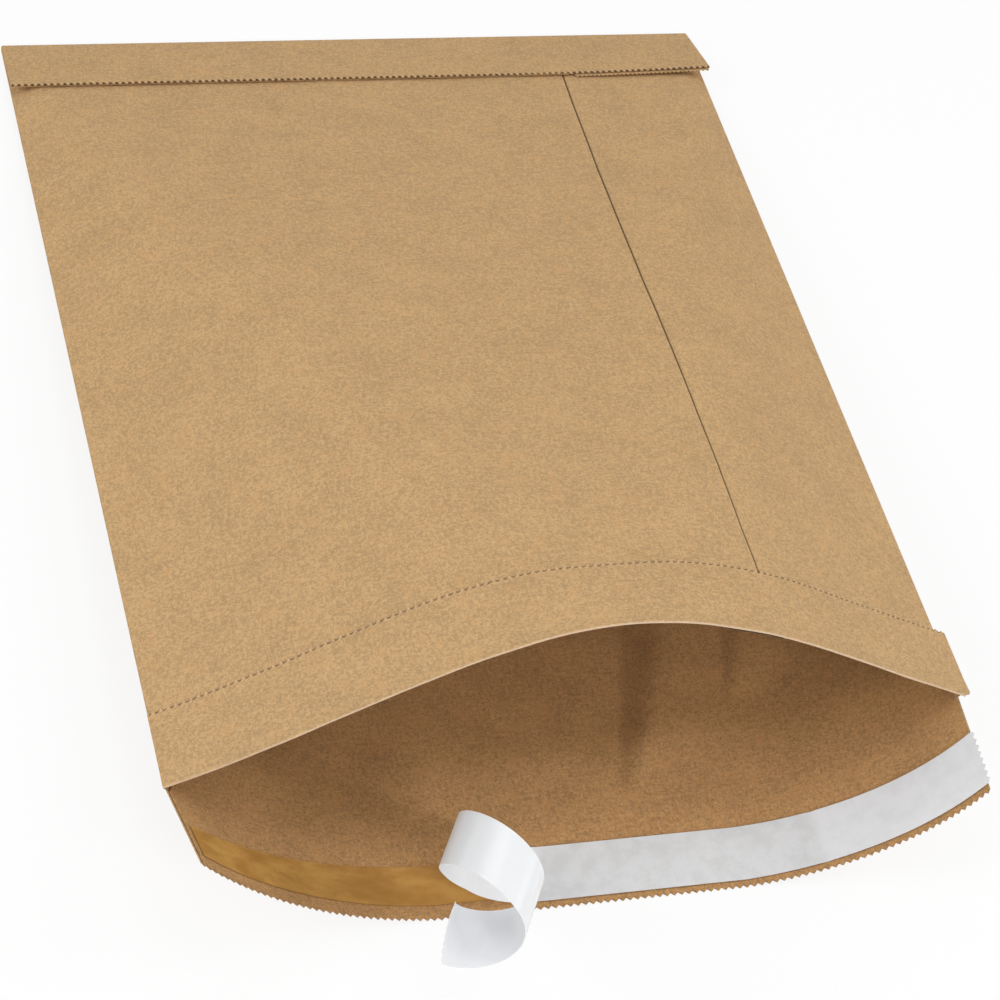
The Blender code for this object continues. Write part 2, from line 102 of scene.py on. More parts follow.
# Where the lining and the padding end, and how far they stay from the creases
LINING_START = 0.014
LINING_END = 0.002
FOOT_TAPER = 0.015
MOUTH_TAPER_END = 0.008
MOUTH_TAPER = 0.017
PADDING_INSET = 0.0064
LINING_INSET = 0.0096
LINING_MOUTH_INSET = 0.003
LINING_FLAP_INSET = 0.0008

# Adhesive strip and release liner on the flap
LINER_WIDTH = 0.0254
LINER_MARGIN = 0.0031
LINER_OVERHANG = 0.0025
ADHESIVE_WIDTH = 0.0185
ADHESIVE_INSET = 0.003
PEEL_FROM_LEFT = 0.160
PEEL_SKEW = 0.506
PEEL_TILT = 0.173
PEEL_EASE = 0.030
PEEL_LENGTH = 0.205
PEEL_RADII = ((0.000, 0.0240), (0.056, 0.1540), (0.126, 0.0180), (0.136, 0.0082), (0.146, 0.0145))

# Fineness of the surfaces
SAMPLES = 1441
COLUMN = TOOTH_PITCH
ROW = 0.0055
LINER_ROW = 0.0016
HEM_STEPS = 12
LIP_STEPS = 8
LIP_ROWS = (0.0008, 0.0018, 0.003, 0.005, 0.008)
CREASE_STEPS = 6
LINING_TURN = 4
SHARP_ANGLE = 40.0
STEP = 0.0005

# Camera, table and light
CAMERA_LENS = 101.22
CAMERA_FROM_FOOT = Vector((-0.33967, -1.06462, 0.96699))
CAMERA_RIGHT = Vector((0.9601, -0.21898, 0.17392))
CAMERA_VIEW = Vector((0.27261, 0.59429, -0.75664))
TABLE_WIDTH = 8.0
TABLE_WHITE = 0.85
ROOM_STRENGTH = 0.28
LAMPS = (
    # name, place, size, power
    ("key_lamp", (0.15, -1.5, 1.3), 0.3, 5.5),
    ("side_key_lamp", (0.45, -1.2, 0.95), 0.25, 3.6),
    ("front_left_lamp", (-0.9, -1.3, 1.0), 1.0, 4.0),
    ("left_lamp", (-1.5, 0.0, 1.1), 1.0, 11.8),
    ("right_lamp", (1.5, 0.0, 1.1), 1.0, 10.5),
    ("top_lamp", (0.0, -0.1, 1.9), 1.0, 5.1),
    ("back_lamp", (0.0, 1.5, 1.3), 1.0, 4.4),
)

# Wear and painted light of kraft paper, in its attribute: above 0 pale and frayed, below 0 painted shadow
PAINTED_CRACK_SHADOW = -1.0
SEAM_PAINTED_SHADOW = (0.0, 0.0, -0.5, PAINTED_CRACK_SHADOW, PAINTED_CRACK_SHADOW)
TIP_PALE = 0.45
FOLD_PALE = 0.6

# Values that follow from the sizes
HALF_WIDTH = FLAT_WIDTH / 2
LAP_STEP = PAPER + GAP
STACK = 3 * PAPER + 2 * GAP
FOLD_AXIS = STACK + GAP
PADDING_BULK = PADDING + GAP
PADDING_END_SHARE = (PADDING_EDGE + GAP) / PADDING_BULK
FOOT_LINE = Vector((0.0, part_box("outer_wrapper")[1].y - FOLD_AXIS, 0.0))
STATIONS = np.linspace(0, FLAT_WIDTH, SAMPLES)
UP = np.array([0.0, 0.0, 1.0])


def unit(vectors):
    """Vectors scaled to length one."""
    return vectors / np.linalg.norm(vectors, axis=-1, keepdims=True)


def smooth(value, start, end):
    """Cubic step from 0 at the start to 1 at the end."""
    share = np.clip((value - start) / (end - start), 0, 1)
    return share * share * (3 - 2 * share)


def spaced(start, end, step):
    """Evenly spaced numbers from start to end, about a step apart."""
    return np.linspace(start, end, max(2, round(abs(end - start) / step) + 1))


def back_profile():
    """Back panel across the mouth: a flat middle on the table and a circular arc up to each crease."""
    left = np.clip(CURL_LEFT_WIDTH - STATIONS, 0, None) / CURL_LEFT_RADIUS
    right = np.clip(STATIONS - FLAT_WIDTH + CURL_RIGHT_WIDTH, 0, None) / CURL_RIGHT_RADIUS
    flat = np.clip(STATIONS, CURL_LEFT_WIDTH, FLAT_WIDTH - CURL_RIGHT_WIDTH) - HALF_WIDTH
    x = flat - CURL_LEFT_RADIUS * np.sin(left) + CURL_RIGHT_RADIUS * np.sin(right)
    z = CURL_LEFT_RADIUS * (1 - np.cos(left)) + CURL_RIGHT_RADIUS * (1 - np.cos(right))
    return np.column_stack([x, z])


def front_profile(left_end, right_end):
    """Front panel across the mouth: the chord between the creases plus a rise times a leaning hump,
    where the rise is halved between two bounds until the curve is as long as the flat width."""
    t = np.linspace(0, 1, SAMPLES)
    lean = t ** ARCH_LEAN
    hump = (1 - ARCH_BELL) * 4 * lean * (1 - lean) + ARCH_BELL * np.sin(np.pi * lean) ** 2
    chord = left_end + np.outer(t, right_end - left_end)
    low, high = 0.0, FLAT_WIDTH
    for _ in range(ARCH_HALVINGS):
        rise = (low + high) / 2
        curve = chord + np.outer(rise * hump, (0, 1))
        run = np.r_[0, np.cumsum(np.linalg.norm(np.diff(curve, axis=0), axis=1))]
        if run[-1] < FLAT_WIDTH:
            low = rise
        else:
            high = rise
    run *= FLAT_WIDTH / run[-1]
    return np.column_stack([np.interp(STATIONS, run, curve[:, axis]) for axis in range(2)])


def in_depth(profile):
    """Mouth curve in space: each point keeps its flat distance from both corners of the foot."""
    x, z = profile.T
    from_left = BODY_LENGTH ** 2 + STATIONS ** 2 - (x + HALF_WIDTH) ** 2 - z ** 2
    from_right = BODY_LENGTH ** 2 + (FLAT_WIDTH - STATIONS) ** 2 - (HALF_WIDTH - x) ** 2 - z ** 2
    share = STATIONS / FLAT_WIDTH
    y = -np.sqrt((1 - share) * from_left + share * from_right)
    return np.column_stack([x, y, z])


BACK_PROFILE = back_profile()
BACK_MOUTH = in_depth(BACK_PROFILE)
FRONT_MOUTH = in_depth(front_profile(BACK_PROFILE[0], BACK_PROFILE[-1]))
BACK_RIDGE = (CURL_LEFT_WIDTH + FLAT_WIDTH - CURL_RIGHT_WIDTH) / 2
FRONT_RIDGE = STATIONS[np.argmax(FRONT_MOUTH[:, 2])]
FRONT_PEAK = FRONT_MOUTH[np.argmax(FRONT_MOUTH[:, 2])]
FRONT_SLOPE = math.atan2(FRONT_PEAK[2], -FRONT_PEAK[1])


def along(mouth, s):
    """Point of a mouth curve at the distance s from the left crease."""
    return np.stack([np.interp(s, STATIONS, mouth[:, axis]) for axis in range(3)], -1)


def panel(mouth, ridge, s, v):
    """Point of a panel: a flat triangle from the foot to the ridge of the mouth, and on each side
    of it a cone of straight lines from the foot's corner to the mouth."""
    reach = np.maximum(v / BODY_LENGTH, 1e-9)
    left_foot = np.array([-HALF_WIDTH, 0, 0])
    right_foot = np.array([HALF_WIDTH, 0, 0])
    left_ray = np.clip(s / reach, 0, FLAT_WIDTH)
    right_ray = np.clip(FLAT_WIDTH - (FLAT_WIDTH - s) / reach, 0, FLAT_WIDTH)
    share = reach[..., None]
    left = left_foot + share * (along(mouth, left_ray) - left_foot)
    right = right_foot + share * (along(mouth, right_ray) - right_foot)
    to_right = ((s - reach * ridge) / FLAT_WIDTH)[..., None]
    to_left = 1 - share - to_right
    middle = share * along(mouth, ridge) + to_right * right_foot + to_left * left_foot
    in_left = (s <= ridge * reach)[..., None]
    in_right = (FLAT_WIDTH - s <= (FLAT_WIDTH - ridge) * reach)[..., None]
    return np.where(in_left, left, np.where(in_right, right, middle))


def past_ends(surface, s, v):
    """Surface carried straight on where s lies past either crease."""
    inside = np.clip(s, 0, FLAT_WIDTH)
    towards = np.where(inside < HALF_WIDTH, STEP, -STEP)
    point = surface(inside, v)
    tangent = unit((surface(inside + towards, v) - point) * np.sign(towards)[..., None])
    return point + (s - inside)[..., None] * tangent


def front_surface(s, v):
    """Outer face of the front panel."""
    return panel(FRONT_MOUTH, FRONT_RIDGE, s, v) + STACK * UP


def flap_direction(s):
    """Way in which the flap runs on from the mouth, turned up or down towards its corners."""
    before = panel(BACK_MOUTH, BACK_RIDGE, s, np.full_like(s, BODY_LENGTH - 20 * STEP))
    straight = unit(along(BACK_MOUTH, s) - before)
    left = np.clip(1 - s / CURL_LEFT_WIDTH, 0, 1)
    right = np.clip((s - FLAT_WIDTH) / CURL_RIGHT_WIDTH + 1, 0, 1)
    turn = FLAP_RISE_LEFT * left ** FLAP_BEND_POWER + FLAP_RISE_RIGHT * right ** FLAP_BEND_POWER
    rise = np.tan(turn)
    return unit(straight + np.stack([FLAP_TURN_LEFT * left, 0 * s, rise], -1))


def back_surface(s, v):
    """Outer face of the back panel, and of the flap past the mouth."""
    body = panel(BACK_MOUTH, BACK_RIDGE, s, np.minimum(v, BODY_LENGTH))
    past = np.maximum(v - BODY_LENGTH, 0)[..., None]
    return body + past * flap_direction(s)


def placed(surface, s, v, depth, outward):
    """Point at a depth under a surface's outer face, measured along its normal."""
    s, v, depth = np.broadcast_arrays(*[np.asarray(value, float) for value in (s, v, depth)])
    point = past_ends(surface, s, v)
    inside = np.clip(s, 0, FLAT_WIDTH)
    across = surface(np.minimum(inside + STEP, FLAT_WIDTH), v) - surface(np.maximum(inside - STEP, 0), v)
    onward = surface(inside, v + STEP) - surface(inside, v - STEP)
    up = unit(np.cross(onward, across))
    return point - depth[..., None] * up * outward


def plane_waves(seed, count, shortest, longest):
    """Directions, wave numbers and phases of a random but fixed set of plane waves."""
    draw = np.random.default_rng(seed)
    turn = draw.uniform(0, math.tau, count)
    number = math.tau / np.exp(draw.uniform(math.log(shortest), math.log(longest), count))
    return number * np.cos(turn), number * np.sin(turn), draw.uniform(0, math.tau, count)


def wavy(s, v, waves):
    """Sum of the plane waves at (s, v), with a mean square of one."""
    total = sum(np.sin(a * s + b * v + phase) for a, b, phase in zip(*waves))
    return total * math.sqrt(2 / len(waves[0]))


SWELL_WAVES = plane_waves(seed=5, count=22, shortest=0.030, longest=0.120)
SWELL_HEIGHT = 0.00012
SWELL_FADE = 0.030


def swell(s, v):
    """Height by which loose padding lifts the front panel here and there: plane waves that fade to
    nothing at the foot and the creases."""
    fade = smooth(v, 0, SWELL_FADE) * smooth(s, 0, SWELL_FADE) * smooth(FLAT_WIDTH - s, 0, SWELL_FADE)
    return SWELL_HEIGHT * fade * wavy(s, v, SWELL_WAVES)


def front(s, v, depth=0.0):
    """Point of the front panel at a depth under its outer face, with the swell of the padding."""
    return placed(front_surface, s, v, depth - swell(s, v), 1.0)


def back(s, v, depth=0.0):
    """Point of the back panel or the flap at a depth under its outer face."""
    return placed(back_surface, s, v, depth, -1.0)


def seam(v):
    """Distance of the lap seam's visible edge from the left crease: a straight line plus a slight
    bow, a polynomial of v."""
    straight = SEAM_AT_FOOT + (SEAM_AT_MOUTH - SEAM_AT_FOOT) * v / BODY_LENGTH
    return straight + SEAM_BOW[0] + SEAM_BOW[1] * v + SEAM_BOW[2] * v ** 2


def lap_bulge(s, v):
    """Extra depth that the layers under the lap keep, easing off on both sides of it."""
    before = (s - seam(v) + LAP_WIDTH) / LAP_EASE + 1
    after = (seam(v) + LAP_DIP - s) / LAP_EASE + 1
    return LAP_STEP * np.clip(np.minimum(before, after), 0, 1)


def padding_share(v):
    """Share of the padding's full thickness, easing off at the foot and at the mouth."""
    foot = (v - LINING_START) / FOOT_TAPER
    mouth = (BODY_LENGTH - MOUTH_TAPER_END - v) / MOUTH_TAPER
    return np.clip(np.minimum(foot, mouth), 0, 1)


def halved(columns):
    """Columns with a further one midway between each two."""
    finer = np.repeat(columns, 2, axis=-1)[..., :-1]
    finer[..., 1::2] = (columns[..., :-1] + columns[..., 1:]) / 2
    return finer


LEFT_SHARES = np.linspace(0, 1, round(SEAM_AT_MOUTH / COLUMN) + 1)
RIGHT_SHARES = np.linspace(0, 1, round((FLAT_WIDTH - SEAM_AT_MOUTH) / COLUMN) + 1)
BACK_COLUMNS = halved(spaced(0, FLAT_WIDTH, COLUMN))


def left_columns(v):
    """Columns of the front panel from the left crease to the seam's edge, for each v of a column
    of numbers."""
    return LEFT_SHARES * seam(v)


def right_columns(v):
    """Columns of the front panel from the seam's dip to the right crease."""
    start = seam(v) + LAP_DIP
    return start + RIGHT_SHARES * (FLAT_WIDTH - start)


def notches(count, notch, between):
    """Values along the foot of a pinked edge, where every other point is a notch; a negative notch value
    is painted shadow.
    """
    return np.where(np.arange(count) % 2 == 0, notch, between)


class Sheet:
    """Open surface gathered from grids of points, and turned into a piece with a thickness."""

    def __init__(self):
        self.points = []
        self.wear_and_painted_light = []
        self.faces = []
        self.size = 0

    def take(self, points, wear_and_painted_light=0.0):
        """Add points, each with its value of wear and painted light, and return their numbers in the same
        layout.
        """
        numbers = self.size + np.arange(points[..., 0].size).reshape(points.shape[:-1])
        self.points.append(points.reshape(-1, 3))
        self.wear_and_painted_light.append(np.broadcast_to(wear_and_painted_light, points.shape[:-1]).ravel())
        self.size += numbers.size
        return numbers

    def grid(self, points, wear_and_painted_light=0.0):
        """Quads between neighbouring rows and columns of the points."""
        numbers = self.take(points, wear_and_painted_light)
        corners = (numbers[:-1, :-1], numbers[:-1, 1:], numbers[1:, 1:], numbers[1:, :-1])
        self.faces += np.stack(corners, -1).reshape(-1, 4).tolist()

    def teeth(self, feet, tips, wear_and_painted_light=0.0):
        """A triangle on each pair of neighbouring feet, with its point midway between two tips."""
        low = self.take(feet, wear_and_painted_light)
        high = self.take((tips[:-1] + tips[1:]) / 2, wear_and_painted_light)
        self.faces += np.column_stack([low[:-1], low[1:], high]).tolist()

    def pinked(self, feet, tips, notch=0.0, tip=0.0):
        """Two triangles on each three neighbouring feet, with their point over the middle one."""
        low = self.take(feet, notches(len(feet), notch, tip))
        high = self.take(tips[1::2], tip)
        first = np.column_stack([low[:-2:2], low[1:-1:2], high])
        second = np.column_stack([low[1:-1:2], low[2::2], high])
        self.faces += np.concatenate([first, second]).tolist()

    def finish(self, name, node, materials, thickness=None):
        """Weld the grids, point the lowest face down, give an open sheet its thickness inward and
        apply it, and put the piece in the node's place."""
        mesh = bpy.data.meshes.new(name)
        mesh.from_pydata(np.vstack(self.points).tolist(), [], self.faces)
        mark = mesh.attributes.new("wear_and_painted_light", "FLOAT", "POINT")
        mark.data.foreach_set("value", np.concatenate(self.wear_and_painted_light).astype(np.float32))
        work = bmesh.new()
        work.from_mesh(mesh)
        bmesh.ops.remove_doubles(work, verts=work.verts, dist=1e-6)
        bmesh.ops.recalc_face_normals(work, faces=work.faces)
        lowest = min(work.faces, key=lambda face: face.calc_center_median().z)
        if lowest.normal.z > 0:
            bmesh.ops.reverse_faces(work, faces=work.faces)
        bmesh.ops.translate(work, verts=work.verts, vec=FOOT_LINE)
        work.to_mesh(mesh)
        work.free()
        for material in materials:
            mesh.materials.append(material)
        obj = bpy.data.objects.new(name, mesh)
        bpy.context.scene.collection.objects.link(obj)
        if thickness:
            wall = obj.modifiers.new("thickness", "SOLIDIFY")
            wall.thickness = thickness
            wall.offset = -1.0
            wall.material_offset = len(materials) - 1
            graph = bpy.context.evaluated_depsgraph_get()
            obj.data = bpy.data.meshes.new_from_object(obj.evaluated_get(graph))
            obj.modifiers.clear()
            obj.data.name = name
        obj.data.shade_smooth()
        obj.data.set_sharp_from_angle(angle=math.radians(SHARP_ANGLE))
        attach(obj, "root")
        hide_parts(node)
        return obj


def rounded(start, end, side, bulge, steps):
    """Rows of points between two crease ends, on half an ellipse that bulges outward."""
    turns = (np.pi * np.arange(1, steps) / steps)[:, None]
    middle = (start + end)[:, None] / 2
    out = np.array([side, 0.0, 0.0])
    width = np.reshape(bulge, (-1, 1, 1))
    return middle + np.cos(turns) * (start[:, None] - middle) + np.sin(turns) * width * out


DIP_SHARES = np.array([0.75, 0.5, 0.3, 0.17, 0.0])
UNDER_SHARES = np.linspace(0.1, 1, 6)


def wrapper_section(v):
    """Wrapper across the body at each v of a column of numbers: from the seam's edge over the left
    crease, the back panel and the right crease, to the ply that dips under the lap."""
    left = front(left_columns(v), v)[:, ::-1]
    bottom = back(BACK_COLUMNS, v)
    right = front(right_columns(v), v)[:, ::-1]
    dip = front(seam(v) + LAP_DIP * DIP_SHARES, v, LAP_STEP * smooth(DIP_SHARES, 1, 0))
    under = front(seam(v) - LAP_WIDTH * UNDER_SHARES, v, LAP_STEP)
    turn_left = rounded(left[:, -1], bottom[:, 0], -1, STACK / 2, CREASE_STEPS)
    turn_right = rounded(bottom[:, -1], right[:, 0], 1, STACK / 2, CREASE_STEPS)
    return np.concatenate([left, turn_left, bottom, turn_right, right, dip, under], axis=1)


BACK_START = LEFT_SHARES.size + CREASE_STEPS - 1


def wrapper_painted_shadow():
    """Painted shadow along a wrapper section, and nothing else: a dark line in the crack of the seam, and
    the ply that runs on under the lap.
    """
    before = BACK_START + BACK_COLUMNS.size + CREASE_STEPS - 1 + RIGHT_SHARES.size
    return np.concatenate([np.zeros(before), SEAM_PAINTED_SHADOW, np.full(UNDER_SHARES.size, PAINTED_CRACK_SHADOW)])


def hem_lift(x, distance):
    """Height by which the right end of the folded strip stands off the front panel."""
    end = np.clip((x / HALF_WIDTH - HEM_FLARE_FROM) / (1 - HEM_FLARE_FROM), 0, 1)
    return HEM_FLARE * end ** 2 * distance / HEM_WIDTH


def folded(section, turn, distance=0.0):
    """Foot of the tube turned about the fold axis, then run on along the front panel's slope."""
    x, _, z = np.moveaxis(section, -1, 0)
    radius = FOLD_AXIS - z
    y = radius * np.sin(turn) - distance * np.cos(FRONT_SLOPE)
    height = FOLD_AXIS - radius * np.cos(turn) + distance * np.sin(FRONT_SLOPE)
    return np.stack(np.broadcast_arrays(x, y, height + hem_lift(x, distance)), -1)


LAST_TURN = math.pi - FRONT_SLOPE


def add_hem(sheet):
    """Both plies of the foot folded over onto the front, the outer ply with a pinked edge."""
    section = wrapper_section(np.zeros((1, 1)))
    root = HEM_WIDTH - TOOTH_DEPTH
    turns = np.linspace(0, LAST_TURN, HEM_STEPS + 1)[:, None]
    strip = np.r_[spaced(0, root - EDGE_BAND, ROW)[1:], root][:, None]
    wear_and_painted_light = np.zeros((len(turns) + len(strip), section.shape[1]))
    wear_and_painted_light[:len(turns)] = FOLD_PALE * np.sin(turns) ** 4
    # The notches of the pinked edge, on the last row and at the teeth, are darkened with painted shadow.
    pinked = BACK_START + np.arange(BACK_COLUMNS.size)
    wear_and_painted_light[-1, pinked] = notches(BACK_COLUMNS.size, PAINTED_CRACK_SHADOW, TIP_PALE)
    sheet.grid(np.concatenate([folded(section, turns), folded(section, LAST_TURN, strip)]), wear_and_painted_light)

    outer = back(BACK_COLUMNS, 0.0)
    inner = front(right_columns(np.zeros(1)), 0.0)
    edge = folded(outer, LAST_TURN, HEM_WIDTH)
    sheet.pinked(folded(outer, LAST_TURN, root), edge, PAINTED_CRACK_SHADOW, TIP_PALE)
    longer = HEM_WIDTH + np.array([[-TOOTH_DEPTH], [0.0]])
    sheet.grid(folded(inner, LAST_TURN, longer))
    sheet.teeth(folded(inner, LAST_TURN, HEM_WIDTH), folded(inner, LAST_TURN, HEM_WIDTH + TOOTH_DEPTH))


def cuff_columns(distance):
    """Columns of the cuff at each distance from the lip; it sticks out past both creases, and its
    lower right corner is rounded."""
    v = BODY_LENGTH - distance
    corner = np.clip(1 - distance / CUFF_CORNER, 0, 1)
    right = CUFF_OVERHANG_RIGHT - CUFF_CORNER * (1 - np.sqrt(1 - corner ** 2))
    ends = np.broadcast_to(-CUFF_OVERHANG_LEFT, distance.shape)
    past = FLAT_WIDTH + right * np.array([0.5, 1.0])
    return halved(np.concatenate([ends, left_columns(v), right_columns(v), past], axis=1))


def laid_cuff(distance):
    """Rows of the cuff at distances from the lip, easing down onto the front panel."""
    easing = np.clip(1 - distance / LIP_EASE, 0, 1) ** 2
    height = CUFF_GAP + (2 * LIP_RADIUS - CUFF_GAP) * easing
    return front(cuff_columns(distance), BODY_LENGTH - distance, -height)


def add_cuff(sheet):
    """Mouth of the front panel rolled outward over a rounded lip and laid back on the panel, down
    to its pinked edge."""
    columns = cuff_columns(np.zeros((1, 1)))
    lip = front(columns, BODY_LENGTH)
    above = unit(front(columns, BODY_LENGTH, -STEP) - lip)
    onward = unit(lip - front(columns, BODY_LENGTH - 4 * STEP))
    turns = np.linspace(0, math.pi, LIP_STEPS + 1)[:, None, None]
    roll = lip + LIP_RADIUS * (np.sin(turns) * onward + (1 - np.cos(turns)) * above)
    root = CUFF_WIDTH - TOOTH_DEPTH
    laid = spaced(LIP_EASE, root - EDGE_BAND, ROW)
    distances = np.r_[LIP_ROWS, laid, root][:, None]
    wear_and_painted_light = np.zeros((len(turns) + len(distances), columns.size))
    # The rolled lip is paler: worn fuzz, and partly a painted highlight.
    wear_and_painted_light[:len(turns)] = np.sin(turns[:, :, 0]) ** 1.5
    # The notches of the pinked edge, here and at the teeth below, are darkened with painted shadow.
    wear_and_painted_light[-1] = notches(columns.size, PAINTED_CRACK_SHADOW, TIP_PALE)
    sheet.grid(np.concatenate([roll, laid_cuff(distances)]), wear_and_painted_light)
    feet, tips = laid_cuff(np.array([[root], [CUFF_WIDTH]]))
    sheet.pinked(feet, tips, PAINTED_CRACK_SHADOW, TIP_PALE)


def add_flap(sheet, columns, depth, start):
    """Flap from the row at start past the mouth to its pinked edge."""
    edge = BODY_LENGTH + FLAP_LENGTH
    rows = spaced(start, edge - TOOTH_DEPTH, ROW)[:, None]
    points = back(columns, rows, depth)
    sheet.grid(points)
    sheet.pinked(points[-1], back(columns, edge, depth))


def wrapper(material):
    """Kraft wrapper: body tube with its lap, hem, cuff and flap, from one sheet."""
    sheet = Sheet()
    rows = spaced(0, BODY_LENGTH, ROW)[:, None]
    sheet.grid(wrapper_section(rows), wrapper_painted_shadow())
    add_hem(sheet)
    add_cuff(sheet)
    add_flap(sheet, BACK_COLUMNS, 0.0, BODY_LENGTH)
    piece = sheet.finish("kraft_wrapper", "outer_wrapper", [material], PAPER)


# Folds of the loose lining on the pocket's floor: each is a sharp line that runs a little askew
# towards the mouth, with a steep side to its right that narrows to a point
LINING_FOLDS = (
    # place at FOLDS_AT, slope, v of its end, width of its steep side, height, painted shade
    (0.2240, -0.25, 0.469, 0.0215, 0.0040, 0.27),
    (0.2700, -0.20, 0.432, 0.0160, 0.0026, 0.22),
)
FOLDS_AT = 0.390
FOLD_NARROWS = 0.080
FOLDS_START = (0.30, 0.35)
FOLD_END = 0.030
FOLD_PAINTED_SHADE_END = 0.008
FOLD_FALL = (1.0, 4.0)
FOLD_PAINTED_SHADE_EDGE = 0.12
FOLD_PAINTED_SHADE_FADE = (0.55, 1.35)
RELIEF_FROM_CREASE = (0.02, 0.06)
RELIEF_FROM_MOUTH = (0.004, 0.020)
LINING_WAVES = plane_waves(seed=11, count=30, shortest=0.018, longest=0.075)
LINING_RIPPLE = 0.00022


def across_fold(s, v, fold):
    """Distance right of a fold's line, in widths of its steep side there."""
    place, slope, end, wide = fold[:4]
    width = wide * np.sqrt(np.clip((end - v) / FOLD_NARROWS, 0.01, 1))
    return (s - place - slope * (v - FOLDS_AT)) / width


def lining_relief(s, v):
    """Height of the loose lining over the pocket's floor: for each fold a rise over its steep side
    and a long fall beyond it, and a fine ripple, all easing to nothing at the mouth and creases."""
    height = LINING_RIPPLE * (1 + wavy(s, v, LINING_WAVES))
    for fold in LINING_FOLDS:
        across = across_fold(s, v, fold)
        hump = smooth(across, 0, 1) * (1 - smooth(across, *FOLD_FALL))
        height = height + fold[4] * hump * smooth(fold[2] - v, 0, FOLD_END) * smooth(v, *FOLDS_START)
    fade = smooth(s, *RELIEF_FROM_CREASE) * smooth(FLAT_WIDTH - s, *RELIEF_FROM_CREASE)
    return np.maximum(height, 0) * fade * smooth(BODY_LENGTH - v, *RELIEF_FROM_MOUTH)


def lining_painted_shade(s, v):
    """Painted shade along the steep side of each fold, sharp at its line and soft beyond."""
    painted_shade = 0.0
    for fold in LINING_FOLDS:
        across = across_fold(s, v, fold)
        edge = smooth(across, -FOLD_PAINTED_SHADE_EDGE, FOLD_PAINTED_SHADE_EDGE)
        band = edge * (1 - smooth(across, *FOLD_PAINTED_SHADE_FADE))
        painted_shade = painted_shade - fold[5] * band * smooth(fold[2] - v, 0, FOLD_PAINTED_SHADE_END)
    return painted_shade


OUTER_BULGE = 0.3
INNER_BULGE = 0.15


def inner_section(v, depth, inset, bulge, relief=0.0):
    """Closed section of an inner layer: front, left crease, back and right crease, whose turns
    bulge out by a share of the gap between front and back."""
    left = np.clip(left_columns(v), inset, FLAT_WIDTH - inset)
    right = np.clip(right_columns(v), inset, FLAT_WIDTH - inset)
    over = np.concatenate([left, right], axis=1)
    below = np.clip(BACK_COLUMNS, inset, FLAT_WIDTH - inset)
    top = front(over, v, depth + lap_bulge(over, v))[:, ::-1]
    bottom = back(below, v, depth + relief * lining_relief(below, v))
    left_gap = np.linalg.norm(top[:, -1] - bottom[:, 0], axis=-1)
    right_gap = np.linalg.norm(top[:, 0] - bottom[:, -1], axis=-1)
    turn_left = rounded(top[:, -1], bottom[:, 0], -1, bulge * left_gap, LINING_TURN)
    turn_right = rounded(bottom[:, -1], top[:, 0], 1, bulge * right_gap, LINING_TURN)
    return np.concatenate([top, turn_left, bottom, turn_right, top[:, :1]], axis=1)


def padding(material):
    """Layer of loose paper fibre between the plies: an outer and an inner skin, joined where the
    layer thins out at the foot and at the mouth."""
    start = LINING_START + PADDING_END_SHARE * FOOT_TAPER
    end = BODY_LENGTH - MOUTH_TAPER_END - PADDING_END_SHARE * MOUTH_TAPER
    rows = spaced(start, end, 2 * ROW)[:, None]
    skin = PAPER + GAP
    thickness = padding_share(rows) * PADDING_BULK - GAP
    outer = inner_section(rows, skin, PADDING_INSET, OUTER_BULGE)
    inner = inner_section(rows, skin + thickness, PADDING_INSET + PADDING, INNER_BULGE)
    sheet = Sheet()
    sheet.grid(np.concatenate([outer, inner[::-1], outer[:1]]))
    piece = sheet.finish("paper_fibre_padding", "padding", [material])


def lining(material):
    """Kraft lining: a tube inside the padding, whose back runs on over the flap."""
    end = BODY_LENGTH - LINING_END
    rows = spaced(LINING_START, end, ROW)[:, None]
    skin = PAPER + GAP
    full = BODY_LENGTH - MOUTH_TAPER_END - MOUTH_TAPER
    inset = np.interp(rows, [full, end], [LINING_INSET, LINING_MOUTH_INSET])
    sheet = Sheet()
    depth = skin + PADDING_BULK * padding_share(rows)
    section = inner_section(rows, depth, inset, INNER_BULGE, relief=1.0)
    wear_and_painted_light = np.zeros(section.shape[:2])
    floor = LEFT_SHARES.size + RIGHT_SHARES.size + LINING_TURN - 1 + np.arange(BACK_COLUMNS.size)
    # Painted shade on the pocket's floor along the folds.
    wear_and_painted_light[:, floor] = lining_painted_shade(BACK_COLUMNS, rows)
    sheet.grid(section, wear_and_painted_light)
    tube = np.clip(BACK_COLUMNS, LINING_MOUTH_INSET, FLAT_WIDTH - LINING_MOUTH_INSET)
    flap = np.clip(BACK_COLUMNS, LINING_FLAP_INSET, FLAT_WIDTH - LINING_FLAP_INSET)
    flap_start = end + 2 * LINING_END
    sheet.grid(np.stack([back(tube, end, skin), back(flap, flap_start, skin)]))
    add_flap(sheet, flap, skin, flap_start)
    piece = sheet.finish("kraft_lining", "inner_lining", [material], PAPER)


FLAP_STACK = 2 * PAPER + 2 * GAP
FLAP_EDGE = BODY_LENGTH + FLAP_LENGTH
LINER_MIDDLE = FLAP_EDGE - LINER_MARGIN - LINER_WIDTH / 2
WRINKLE_AT = 0.284
WRINKLE_WIDTH = 0.0015
WRINKLE_HEIGHT = 0.0005
WRINKLE_FADE = 0.002

# The same attribute holds neither wear nor painted light on the liner, but how far its paper is free of
# the adhesive
LOOSE = 1.0
LOOSE_FROM = (-0.002, 0.006)
PAST_WRINKLE = 0.7


